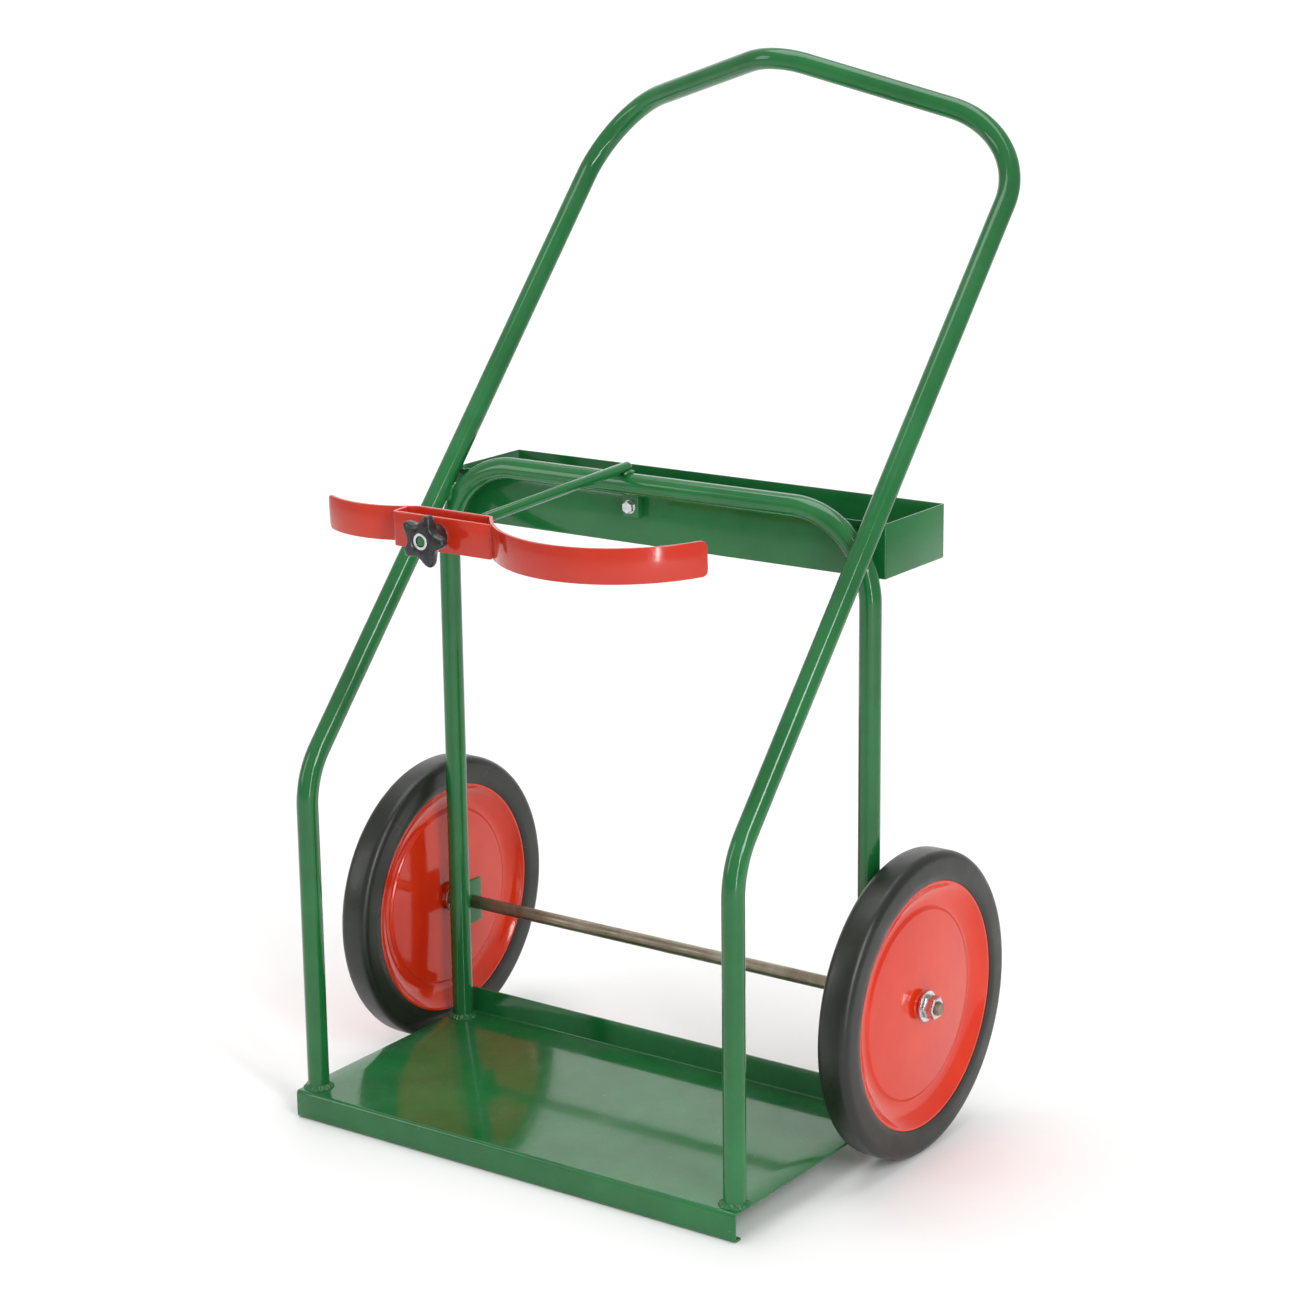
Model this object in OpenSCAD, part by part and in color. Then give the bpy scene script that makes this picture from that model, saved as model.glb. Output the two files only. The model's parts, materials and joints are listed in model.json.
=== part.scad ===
// Two-wheeled trolley for a pair of upright gas cylinders. The front foot flange rests on the
// ground; X runs along the axle, the cylinders are loaded from -Y and the handle leans to +Y.

/* [Tray] */
// Width of the cylinder tray, along the axle
tray_width = 620; // [560:1:760]
// Depth of the cylinder tray, front to back
tray_depth = 320; // [300:1:400]
// Height of the folded front lip, which sets the tray's height above the ground
lip_height = 34; // [28:1:50]
// Depth of the flange that turns back under the front lip
flange_depth = 12; // [8:1:20]
// Rise of the rear wall above the tray's floor
rear_wall_rise = 32; // [20:1:45]
// Thickness of the tray's sheet
tray_sheet = 3; // [2:0.5:4]

/* [Frame tubes] */
// Outside diameter of the frame tube
tube_od = 25.4; // [22:0.1:32]
// Wall of the frame tube
tube_wall = 2; // [1.5:0.1:3]
// Radius of every tube bend, to the tube's centre line
bend_radius = 100; // [85:1:115]
// Distance of the legs' centres from the tray's side edges
side_inset = 15; // [14:1:40]
// Distance of the legs' centres from the tray's front and back edges
leg_inset = 23; // [20:1:30]
// Height above the ground at which the front legs start to lean back
lean_height = 417; // [350:1:500]
// Lean of the handle's legs from upright
lean_angle = 41.6; // [35:0.1:44]
// Height above the ground of the handle's two top corners
grip_height = 1125; // [950:1:1300]
// Rise of the grip's peak, square to the leaning legs
grip_rise = 130; // [80:1:160]

/* [Tool tray] */
// Distance of the tool tray's sides outside the legs' centres
tool_tray_overhang = 7; // [0:1:10]
// Depth of the tool tray, front to back
tool_tray_depth = 128; // [90:1:160]
// Height of the tool tray's walls
tool_tray_height = 63; // [45:1:80]
// Thickness of the tool tray's sheet
tool_tray_sheet = 2; // [1.5:0.5:3]

/* [Wheels] */
// Outside diameter of the tyre
wheel_od = 356; // [320:1:400]
// Width of the tyre
tyre_width = 40; // [38:1:50]
// Outside diameter of the pressed steel wheel, where the tyre's side wall starts
rim_od = 288; // [264:1:300]
// Distance between the two rim edges of a wheel
rim_width = 35; // [30:1:37]
// Room between the rear legs' tube and the tyre
wheel_gap = 12.3; // [11:0.1:40]
// Diameter of the axle
axle_od = 16; // [14:1:20]
// Room between the rear legs' tube and the axle behind it
axle_gap = 3.3; // [3:0.1:12]

/* [Clamp] */
// Sideways place of the clamp's rod; the left cylinder is the smaller one
clamp_x = -34; // [-60:1:0]
// Diameter of the clamp's threaded rod
rod_od = 12; // [10:1:14]
// Droop of the rod towards the front
rod_droop = 2.5; // [0:0.1:4]
// Distance of the strap's flat middle in front of the rear bar
strap_reach = 311; // [260:1:340]
// Height of the strap
strap_height = 38; // [30:1:50]
// Thickness of the strap
strap_thickness = 4; // [3:0.5:5]
// Outside radius of the strap's right arm, for the larger cylinder
right_arm_radius = 150; // [135:1:160]
// Outside radius of the strap's left arm, for the smaller cylinder
left_arm_radius = 117; // [105:1:125]
// Diameter of the star knob
knob_od = 58; // [46:1:70]

/* [Hidden] */

$fn = 64;
green = [0.07, 0.36, 0.2];
red = [0.82, 0.13, 0.08];
black = [0.08, 0.08, 0.08];
steel = [0.42, 0.38, 0.34];
zinc = [0.75, 0.76, 0.78];
cut = 1;                   // overrun of a cutter past the face it opens
touch_gap = 0.1;           // room left where two round faces would only touch
running_gap = 0.05;        // radial room of a hole around the shaft that turns or slides in it
end_float = 0.3;           // room along the axle at each side of a wheel's hub

// Tray and legs
tray_front_y = -flange_depth / 2;
tray_back_y = tray_front_y + tray_depth;
front_leg_y = tray_front_y + leg_inset;
rear_leg_y = tray_back_y - leg_inset;
leg_x = tray_width / 2 - side_inset;
tube_r = tube_od / 2;
tube_bore_r = tube_r - tube_wall;
seam_gap = 0.05;           // room between a straight and a bend, which a ball bridges
seam_ball = 0.05;          // how much larger than the tube that ball's radius is
weld_size = 5;             // size of a fillet weld at the foot of a tube, where it has room
weld_leg = min(weld_size, leg_inset - tray_sheet - tube_r - touch_gap);
weld_edge = 1;             // thickness of that weld at its upper edge
corner_weld_r = 10;        // weld where a rear corner meets a leaning leg
tray_weld_r = 8;           // weld between the tool tray and a leaning leg
rod_weld_r = 9;            // weld that holds the clamp's rod to the rear bar

// Handle: upright, lean, grip corner and half of the peak, as lengths between bends
lean_tangent = bend_radius * tan(lean_angle / 2);
lean_length = (grip_height - lean_height) / cos(lean_angle);
grip_half = norm([leg_x, grip_rise]);
peak_half_angle = atan(grip_rise / leg_x);
peak_tangent = bend_radius * tan(peak_half_angle);
upright_length = lean_height - lip_height - lean_tangent;
lean_straight = lean_length - lean_tangent - bend_radius;
grip_straight = grip_half - bend_radius - peak_tangent;

// Rear frame: its rounded corners just meet the leaning legs, which pass outside them
crossing_z = lean_height + (rear_leg_y - front_leg_y) / tan(lean_angle);
meet_distance = tube_od + touch_gap;
function inset_at(a) = bend_radius * (1 - cos(a));
function rise_at(a) = bend_radius * sin(a)
    + sqrt(max(0, meet_distance ^ 2 - inset_at(a) ^ 2)) / sin(lean_angle);
meet_angles = [for (a = [0:0.5:41]) if (inset_at(a) < meet_distance) a];
meet_rise = max([for (a = meet_angles) rise_at(a)]);
meet_angle = [for (a = meet_angles) if (rise_at(a) == meet_rise) a][0];
rear_bar_z = crossing_z - meet_rise + bend_radius;
rear_bend_z = rear_bar_z - bend_radius;

// Tool tray: behind the rear frame, under the leaning legs
tool_tray_gap = 7.8;       // room between the rear legs' tube and the tool tray
tray_leg_gap = 1;          // height of the leaning legs' undersides above the tray's front edge
tool_tray_width = 2 * (leg_x + tool_tray_overhang);
tool_tray_y = rear_leg_y + tube_r + tool_tray_gap;
tool_tray_top = lean_height + (tool_tray_y - front_leg_y) / tan(lean_angle)
    - tube_r / sin(lean_angle) - tray_leg_gap;
tool_tray_floor = tool_tray_top - tool_tray_height;
lug_width = 22;
lug_drop = 42;
lug_bolt_drop = 29;
lug_overlap = 3.7;         // how far the lug reaches forward, under the rear bar
lug_front_y = rear_leg_y + tube_r - lug_overlap;
bolt_r = 4;
bolt_hole_r = 4.3;
bolt_flats = 13;
bolt_head_height = 5.3;
bolt_nut_height = 6.5;
bolt_washer_r = 8;
bolt_washer_thickness = 1.6;
bolt_end = 3;              // length of thread past the nut
lug_bolt_z = rear_bar_z - lug_bolt_drop;

// Wheels and axle
wheel_r = wheel_od / 2;
axle_z = wheel_r;
axle_r = axle_od / 2;
axle_y = rear_leg_y + tube_r + axle_gap + axle_r;
wheel_offset = leg_x + tube_r + wheel_gap + tyre_width / 2;
rim_r = rim_od / 2;
disc_sheet = 2;
web_offset = 8;            // outside face of a disc's web at its edge, from the middle plane
hub_r = 13;
hub_length = rim_width - 2;
nut_flats = 24;
nut_height = 13;
nut_end = 4;               // length of thread past the axle's nut
washer_r = 18;
washer_thickness = 2.6;
bracket_plate = 5;
bracket_height = 56;
bracket_edge = 16;         // metal around the axle's hole
spacer_room = 0.3;         // room between the spacer tube and the rear leg
spacer_r = axle_r + axle_gap - spacer_room;
nut_start = hub_length / 2 + end_float + washer_thickness;
axle_length = 2 * (wheel_offset + nut_start + nut_height + nut_end);
spacer_end = wheel_offset - hub_length / 2 - end_float - washer_thickness;

// Tyre section
shoulder_r = 10;
tyre_foot_r = rim_r * 0.85; // bottom of the tyre's foot, between the two discs

// Clamp, in its own frame: origin over the rear bar, -Y along the rod towards the knob
rod_r = rod_od / 2;
rod_tail = 3;              // length of the rod behind the rear bar's centre, to its rounded end
rod_hole_r = rod_r + running_gap;
rod_bar_z = rear_bar_z + tube_r + rod_r + touch_gap;
strap_front_y = -strap_reach;
bridge_depth = 29;         // front face of the bridge, in front of the strap's middle
bridge_front_y = strap_front_y - bridge_depth;
bridge_left = -64;
bridge_right = 70;
arm_lap = 0.3;             // how far the strap's flat middle runs on into each arm
arm_step = 0.01;           // how far each arm stands above and below the flat middle
// Where the middle of an arm's sheet meets the middle of the flat plate's sheet
function arm_lean(centre_y, radius) =
    asin((centre_y - strap_front_y - strap_thickness / 2) / (radius - strap_thickness / 2));
// Centres of the two arms' arcs, and the angles at which the arms end
right_arm_side = 21;       // how far the right arc's edge starts from the rod
right_arm_back = 84;       // how far the right arc's centre lies behind the flat middle
right_arm_x = right_arm_radius + right_arm_side;
right_arm_y = strap_front_y + right_arm_back;
right_arm_tip = 336.6;
right_arm_root = 180 + arm_lean(right_arm_y, right_arm_radius);
left_arm_side = 1;         // how far the left arc's edge runs past the rod
left_arm_back = 98;        // how far the left arc's centre lies behind the flat middle
left_arm_x = left_arm_side - left_arm_radius;
left_arm_y = strap_front_y + left_arm_back;
left_arm_tip = 239.2;
left_arm_root = 360 - arm_lean(left_arm_y, left_arm_radius);
plate_right = right_arm_x + (right_arm_radius - strap_thickness) * cos(right_arm_root) + arm_lap;
plate_left = left_arm_x + (left_arm_radius - strap_thickness) * cos(left_arm_root) - arm_lap;
clamp_washer_r = 13;
clamp_washer_thickness = 2.5;
washer_front_y = bridge_front_y - clamp_washer_thickness;
knob_gap = 0.2;            // room between the washer and the knob
knob_back_y = washer_front_y - knob_gap;
knob_hub_r = 14;
knob_hub_length = 13;
knob_head_length = 17;
knob_length = knob_hub_length + knob_head_length;
knob_lobes = 5;
bush_r = 9;
rod_recess = 2;            // depth of the rod's end inside the knob's bush
rod_front_y = knob_back_y - knob_length + rod_recess;

// ---- Tube bending: each call adds a length or a bend and hands its end on to its children ----

module run(length, r) {
    translate([0, 0, seam_gap]) cylinder(r = r, h = length - 2 * seam_gap);
    translate([0, 0, length]) {
        sphere(r = r + seam_ball);
        children();
    }
}

// Bends the path from +Z towards +X, turned about Z by roll
module bend(angle, roll, r) {
    seam_turn = seam_gap / bend_radius * 180 / PI;
    rotate([0, 0, roll]) {
        translate([bend_radius, 0, 0])
            rotate([90, 0, 0])
                rotate([0, 0, 180 - angle + seam_turn])
                    rotate_extrude(angle = angle - 2 * seam_turn, $fn = 128)
                        translate([bend_radius, 0]) circle(r = r);
        translate([bend_radius * (1 - cos(angle)), 0, bend_radius * sin(angle)])
            rotate([0, angle, 0])
                rotate([0, 0, -roll]) {
                    sphere(r = r + seam_ball);
                    children();
                }
    }
}

// A leg's foot: it starts square, at the tray, and reaches down by depth
module foot(length, r, depth) {
    translate([0, 0, -depth]) cylinder(r = r, h = length + depth - seam_gap);
    translate([0, 0, length]) {
        sphere(r = r + seam_ball);
        children();
    }
}

// Left half of the handle, from the tray to the middle of the grip's peak
module half_handle(r, depth) {
    grip_roll = -peak_half_angle;
    translate([-leg_x, front_leg_y, lip_height])
        foot(upright_length, r, depth)
            bend(lean_angle, 90, r)
                run(lean_straight, r)
                    bend(90, grip_roll, r)
                        run(grip_straight, r)
                            bend(peak_half_angle, 90 + grip_roll, r);
}

module handle_solid(r, depth = 0) {
    half_handle(r, depth);
    mirror([1, 0, 0]) half_handle(r, depth);
}

// Left half of the rear frame, from the tray to the middle of its top bar
module half_rear(r, depth) {
    translate([-leg_x, rear_leg_y, lip_height])
        foot(rear_bend_z - lip_height, r, depth)
            bend(90, 0, r)
                translate([0, 0, seam_gap]) cylinder(r = r, h = leg_x - bend_radius - seam_gap);
}

module rear_solid(r, depth = 0) {
    half_rear(r, depth);
    mirror([1, 0, 0]) half_rear(r, depth);
}

// ---- Frame ----

module base_tray() {
    bottom = lip_height - tray_sheet;
    color(green)
        translate([-tray_width / 2, 0, 0])
            union() {
                translate([0, tray_front_y, bottom]) cube([tray_width, tray_depth, tray_sheet]);
                translate([0, tray_front_y, 0]) cube([tray_width, tray_sheet, lip_height]);
                translate([0, tray_front_y, 0]) cube([tray_width, flange_depth, tray_sheet]);
                translate([0, tray_back_y - tray_sheet, bottom])
                    cube([tray_width, tray_sheet, rear_wall_rise + tray_sheet]);
            }
}

module handle_frame() {
    color(green) difference() {
        handle_solid(tube_r);
        handle_solid(tube_bore_r, cut);
    }
}

module rear_frame() {
    color(green) difference() {
        rear_solid(tube_r);
        rear_solid(tube_bore_r, cut);
    }
}

module foot_welds() {
    color(green)
        for (x = [-leg_x, leg_x], y = [front_leg_y, rear_leg_y])
            translate([x, y, lip_height]) difference() {
                cylinder(r1 = tube_r + weld_leg, r2 = tube_r + weld_edge, h = weld_leg);
                translate([0, 0, -cut]) cylinder(r = tube_r, h = weld_leg + 2 * cut);
            }
}

// Welds where the rear frame's corners meet the leaning legs
module corner_welds() {
    corner_x = leg_x - inset_at(meet_angle);
    corner_z = rear_bend_z + bend_radius * sin(meet_angle);
    lean_gap = (crossing_z - corner_z) * sin(lean_angle);
    color(green)
        for (side = [-1, 1])
            difference() {
                translate([
                    side * (corner_x + leg_x) / 2,
                    rear_leg_y - lean_gap * cos(lean_angle) / 2,
                    corner_z + lean_gap * sin(lean_angle) / 2
                ]) sphere(r = corner_weld_r);
                handle_solid(tube_r);
                rear_solid(tube_r);
            }
}

module tool_tray() {
    wall = tool_tray_sheet;
    color(green)
        difference() {
            translate([-tool_tray_width / 2, tool_tray_y, tool_tray_floor])
                cube([tool_tray_width, tool_tray_depth, tool_tray_height]);
            translate([-tool_tray_width / 2 + wall, tool_tray_y + wall, tool_tray_floor + wall])
                cube([tool_tray_width - 2 * wall, tool_tray_depth - 2 * wall, tool_tray_height]);
            translate([clamp_x, tool_tray_y - cut, lug_bolt_z])
                rotate([-90, 0, 0]) cylinder(r = bolt_hole_r, h = wall + 2 * cut);
        }
}

// Welds that hold the tool tray's front corners up to the leaning legs
module tool_tray_welds() {
    edge_x = min(leg_x, tool_tray_width / 2 - 10);
    color(green)
        for (side = [-1, 1])
            difference() {
                translate([side * edge_x, tool_tray_y - 1, tool_tray_top - 2]) sphere(r = tray_weld_r);
                handle_solid(tube_r);
                translate([-tool_tray_width / 2, tool_tray_y, tool_tray_floor])
                    cube([tool_tray_width, tool_tray_depth, tool_tray_height]);
            }
}

module tool_tray_lug() {
    color(green)
        difference() {
            translate([clamp_x - lug_width / 2, lug_front_y, rear_bar_z - lug_drop])
                cube([lug_width, tool_tray_y - lug_front_y, lug_drop]);
            rear_solid(tube_r);
            translate([clamp_x, lug_front_y - cut, lug_bolt_z])
                rotate([-90, 0, 0]) cylinder(r = bolt_hole_r, h = tool_tray_y);
        }
}

module at_lug_bolt(y) {
    translate([clamp_x, y, lug_bolt_z]) rotate([-90, 0, 0]) children();
}

module lug_bolt() {
    stack = tool_tray_y + tool_tray_sheet + bolt_washer_thickness + bolt_nut_height + bolt_end;
    color(zinc)
        at_lug_bolt(lug_front_y - bolt_washer_thickness) {
            translate([0, 0, -bolt_head_height])
                cylinder(r = bolt_flats / sqrt(3), h = bolt_head_height, $fn = 6);
            cylinder(r = bolt_r, h = stack - lug_front_y + bolt_washer_thickness);
        }
}

module lug_washers() {
    color(zinc)
        for (y = [lug_front_y - bolt_washer_thickness, tool_tray_y + tool_tray_sheet])
            at_lug_bolt(y) difference() {
                cylinder(r = bolt_washer_r, h = bolt_washer_thickness);
                translate([0, 0, -cut]) cylinder(r = bolt_hole_r, h = bolt_washer_thickness + 2 * cut);
            }
}

module lug_nut() {
    color(zinc)
        at_lug_bolt(tool_tray_y + tool_tray_sheet + bolt_washer_thickness) difference() {
            cylinder(r = bolt_flats / sqrt(3), h = bolt_nut_height, $fn = 6);
            translate([0, 0, -cut]) cylinder(r = bolt_r + running_gap, h = bolt_nut_height + 2 * cut);
        }
}

// ---- Axle ----

// Places children on the axle at a distance from the middle, pointing outwards; side is -1 or 1
module on_axle(side, distance) {
    translate([side * distance, axle_y, axle_z]) rotate([0, side * 90, 0]) children();
}

module ring(r, bore, length) {
    difference() {
        cylinder(r = r, h = length);
        translate([0, 0, -cut]) cylinder(r = bore, h = length + 2 * cut);
    }
}

module axle_bracket(side) {
    back_y = axle_y + bracket_edge;
    color(green)
        difference() {
            translate([side * leg_x - bracket_plate / 2, rear_leg_y, axle_z - bracket_height / 2])
                cube([bracket_plate, back_y - rear_leg_y, bracket_height]);
            rear_solid(tube_r);
            translate([side * leg_x - bracket_plate, axle_y, axle_z])
                rotate([0, 90, 0]) cylinder(r = axle_r + touch_gap, h = 2 * bracket_plate);
        }
}

module axle_bracket_left() { axle_bracket(-1); }
module axle_bracket_right() { axle_bracket(1); }

module axle() {
    color(steel) on_axle(1, -axle_length / 2) cylinder(r = axle_r, h = axle_length);
}

module spacer(side) {
    start = leg_x + bracket_plate / 2;
    color(steel) on_axle(side, start) ring(spacer_r, axle_r + touch_gap, spacer_end - start);
}

module spacer_left() { spacer(-1); }
module spacer_right() { spacer(1); }

module axle_washer(side, distance) {
    color(zinc) on_axle(side, distance) ring(washer_r, axle_r + touch_gap, washer_thickness);
}

module inner_washer_left() { axle_washer(-1, spacer_end); }
module inner_washer_right() { axle_washer(1, spacer_end); }
module outer_washer_left() { axle_washer(-1, wheel_offset + nut_start - washer_thickness); }
module outer_washer_right() { axle_washer(1, wheel_offset + nut_start - washer_thickness); }

module axle_nut(side) {
    color(zinc)
        on_axle(side, wheel_offset + nut_start) difference() {
            cylinder(r = nut_flats / sqrt(3), h = nut_height, $fn = 6);
            translate([0, 0, -cut]) cylinder(r = axle_r + running_gap, h = nut_height + 2 * cut);
        }
}

module axle_nut_left() { axle_nut(-1); }
module axle_nut_right() { axle_nut(1); }

// ---- Wheels ----

// Outside face of a pressed disc as [radius, distance from the middle plane], hub to rim
disc_face = [
    [hub_r + touch_gap, web_offset + 3],
    [rim_r * 0.76, web_offset],
    [rim_r * 0.78, web_offset - 3],
    [rim_r * 0.83, web_offset - 3],
    [rim_r * 0.9, web_offset],
    [rim_r * 0.955, rim_width / 2 - 4],
    [rim_r * 0.98, rim_width / 2],
    [rim_r, rim_width / 2]
];

// The points of a folded sheet's other face: each face moved down by the sheet, corners mitred
function unit(v) = v / norm(v);
function left_of(v) = [-v[1], v[0]];
function mitre(a, b) = (a + b) / (1 + a * b);
function below(path, t) = [
    for (i = [0:len(path) - 1])
        let (
            last = len(path) - 1,
            ahead = unit(path[min(i + 1, last)] - path[min(i, last - 1)]),
            behind = unit(path[max(i, 1)] - path[max(i - 1, 0)])
        )
        path[i] - t * mitre(left_of(behind), left_of(ahead))
];

module disc(side, facing) {
    inside = below(disc_face, disc_sheet);
    outline = concat(disc_face, [for (i = [len(inside) - 1:-1:0]) inside[i]]);
    color(red)
        on_axle(side, wheel_offset)
            mirror([0, 0, facing < 0 ? 1 : 0])
                rotate_extrude($fn = 128) polygon(outline);
}

module outer_disc_left() { disc(-1, 1); }
module outer_disc_right() { disc(1, 1); }
module inner_disc_left() { disc(-1, -1); }
module inner_disc_right() { disc(1, -1); }

module hub(side) {
    color(red)
        on_axle(side, wheel_offset - hub_length / 2) ring(hub_r, axle_r + running_gap, hub_length);
}

module hub_left() { hub(-1); }
module hub_right() { hub(1); }

// Half of the tyre's foot, down to the discs that grip it, as [radius, distance]
function foot_half() =
    let (inside = below(disc_face, disc_sheet + touch_gap))
    [for (p = inside) if (p[0] > tyre_foot_r) p];

module tyre_section() {
    shoulder_x = tyre_width / 2 - shoulder_r;
    foot = foot_half();
    upper = concat(foot, [
        [rim_r + touch_gap, foot[len(foot) - 1][1]],
        [rim_r + touch_gap, tyre_width / 2],
        [wheel_r, tyre_width / 2]
    ]);
    lower = [for (i = [len(upper) - 1:-1:0]) [upper[i][0], -upper[i][1]]];
    difference() {
        polygon(concat(upper, lower));
        for (side = [0, 1])
            mirror([0, side])
                translate([wheel_r - shoulder_r, shoulder_x]) difference() {
                    square(shoulder_r + cut);
                    circle(r = shoulder_r);
                }
    }
}

module tyre(side) {
    color(black)
        on_axle(side, wheel_offset) rotate_extrude($fn = 180) tyre_section();
}

module tyre_left() { tyre(-1); }
module tyre_right() { tyre(1); }

// ---- Clamp ----

module in_clamp() {
    translate([clamp_x, rear_leg_y, rod_bar_z]) rotate([rod_droop, 0, 0]) children();
}

// A shaft along the clamp's Y, from back to front
module along_rod(back_y, length, r) {
    translate([0, back_y, 0]) rotate([90, 0, 0]) cylinder(r = r, h = length);
}

module clamp_rod() {
    color(green)
        in_clamp() {
            along_rod(rod_tail, rod_tail - rod_front_y, rod_r);
            translate([0, rod_tail, 0]) sphere(r = rod_r);
        }
}

module rod_weld() {
    color(green)
        difference() {
            translate([clamp_x, rear_leg_y, rear_bar_z + tube_r]) sphere(r = rod_weld_r);
            rear_solid(tube_r);
            in_clamp() along_rod(60, 120, rod_r);
        }
}

// An arm of the strap: a bent flat bar around a cylinder, from one angle to another
module arm(centre, radius, from, to) {
    translate([centre[0], centre[1], -strap_height / 2])
        rotate([0, 0, from])
            rotate_extrude(angle = to - from, $fn = 160)
                translate([radius - strap_thickness, 0]) square([strap_thickness, strap_height]);
}

module clamp_strap() {
    color(red)
        in_clamp() difference() {
            union() {
                arm([right_arm_x, right_arm_y], right_arm_radius, right_arm_root, right_arm_tip);
                arm([left_arm_x, left_arm_y], left_arm_radius, left_arm_tip, left_arm_root);
                translate([plate_left, strap_front_y, arm_step - strap_height / 2])
                    cube([plate_right - plate_left, strap_thickness, strap_height - 2 * arm_step]);
            }
            along_rod(strap_front_y + strap_thickness + cut, strap_thickness + 2 * cut, rod_hole_r);
        }
}

// Plate across the strap's recessed middle, with one end turned back to the left arm
module clamp_bridge() {
    color(red)
        in_clamp() difference() {
            translate([0, bridge_front_y, -strap_height / 2]) {
                translate([bridge_left, 0, 0])
                    cube([bridge_right - bridge_left, strap_thickness, strap_height]);
                translate([bridge_left, 0, 0]) cube([strap_thickness, bridge_depth, strap_height]);
            }
            translate([right_arm_x, right_arm_y, -strap_height])
                cylinder(r = right_arm_radius + touch_gap, h = 2 * strap_height, $fn = 160);
            translate([left_arm_x, left_arm_y, -strap_height])
                cylinder(r = left_arm_radius + touch_gap, h = 2 * strap_height, $fn = 160);
            along_rod(bridge_front_y + strap_thickness + cut, strap_thickness + 2 * cut, rod_hole_r);
        }
}

module clamp_washer() {
    color(zinc)
        in_clamp() difference() {
            along_rod(bridge_front_y - touch_gap, clamp_washer_thickness - touch_gap, clamp_washer_r);
            along_rod(bridge_front_y + cut, clamp_washer_thickness + 2 * cut, rod_hole_r);
        }
}

module knob_head() {
    dent_r = knob_od * 0.19;
    dent_at = knob_od / 2 + dent_r * 0.35;
    color(black)
        in_clamp() difference() {
            union() {
                along_rod(knob_back_y, knob_hub_length + cut, knob_hub_r);
                along_rod(knob_back_y - knob_hub_length, knob_head_length, knob_od / 2);
            }
            for (i = [0:knob_lobes - 1])
                rotate([0, (i + 0.5) * 360 / knob_lobes, 0])
                    translate([0, 0, dent_at])
                        along_rod(knob_back_y - knob_hub_length + cut, knob_head_length + 2 * cut, dent_r);
            along_rod(knob_back_y + cut, knob_length + 2 * cut, bush_r);
        }
}

module knob_bush() {
    color(zinc)
        in_clamp() difference() {
            along_rod(knob_back_y, knob_length, bush_r);
            along_rod(knob_back_y + cut, knob_length + 2 * cut, rod_hole_r);
        }
}

base_tray();
handle_frame();
rear_frame();
foot_welds();
corner_welds();
tool_tray();
tool_tray_welds();
tool_tray_lug();
lug_bolt();
lug_washers();
lug_nut();
axle_bracket_left();
axle_bracket_right();
axle();
spacer_left();
spacer_right();
inner_washer_left();
inner_washer_right();
outer_washer_left();
outer_washer_right();
axle_nut_left();
axle_nut_right();
tyre_left();
tyre_right();
outer_disc_left();
outer_disc_right();
inner_disc_left();
inner_disc_right();
hub_left();
hub_right();
clamp_rod();
rod_weld();
clamp_strap();
clamp_bridge();
clamp_washer();
knob_head();
knob_bush();
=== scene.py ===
"""Gas cylinder trolley: the looks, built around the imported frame. Metres throughout."""
import json
import math

import bmesh
import bpy
from mathutils import Matrix, Vector, noise


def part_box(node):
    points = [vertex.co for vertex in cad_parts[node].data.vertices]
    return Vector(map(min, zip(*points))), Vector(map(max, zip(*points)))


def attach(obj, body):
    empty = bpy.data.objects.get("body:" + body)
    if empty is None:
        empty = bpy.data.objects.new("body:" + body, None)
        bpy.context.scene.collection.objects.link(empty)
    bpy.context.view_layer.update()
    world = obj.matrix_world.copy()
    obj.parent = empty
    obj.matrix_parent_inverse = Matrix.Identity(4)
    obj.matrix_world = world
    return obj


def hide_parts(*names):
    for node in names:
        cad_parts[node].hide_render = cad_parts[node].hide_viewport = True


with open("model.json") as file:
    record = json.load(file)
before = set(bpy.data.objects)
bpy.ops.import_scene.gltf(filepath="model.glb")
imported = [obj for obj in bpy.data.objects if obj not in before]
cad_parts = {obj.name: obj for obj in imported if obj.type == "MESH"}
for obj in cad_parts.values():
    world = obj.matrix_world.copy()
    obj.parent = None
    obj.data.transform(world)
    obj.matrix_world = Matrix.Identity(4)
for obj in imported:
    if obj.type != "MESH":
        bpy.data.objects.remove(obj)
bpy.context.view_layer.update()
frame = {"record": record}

MM = 0.001
X, Y, Z = Vector((1, 0, 0)), Vector((0, 1, 0)), Vector((0, 0, 1))
record = frame["record"]
joints = {j["name"]: j for j in record["behaviour"]["joints"]}

# ---------------------------------------------------------------- materials

def material(name):
    mat = bpy.data.materials.new(name)
    mat.use_nodes = True
    nodes = mat.node_tree.nodes
    nodes.clear()
    out = nodes.new("ShaderNodeOutputMaterial")
    shader = nodes.new("ShaderNodeBsdfPrincipled")
    mat.node_tree.links.new(shader.outputs["BSDF"], out.inputs["Surface"])
    return mat, mat.node_tree, shader


def group(name, inputs, output, kind):
    """A node group with named number or colour inputs and one output."""
    tree = bpy.data.node_groups.new(name, "ShaderNodeTree")
    for label, socket, default in inputs:
        item = tree.interface.new_socket(label, in_out="INPUT", socket_type=socket)
        item.default_value = default
    tree.interface.new_socket(output, in_out="OUTPUT", socket_type=kind)
    return tree, tree.nodes.new("NodeGroupInput"), tree.nodes.new("NodeGroupOutput")


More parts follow.
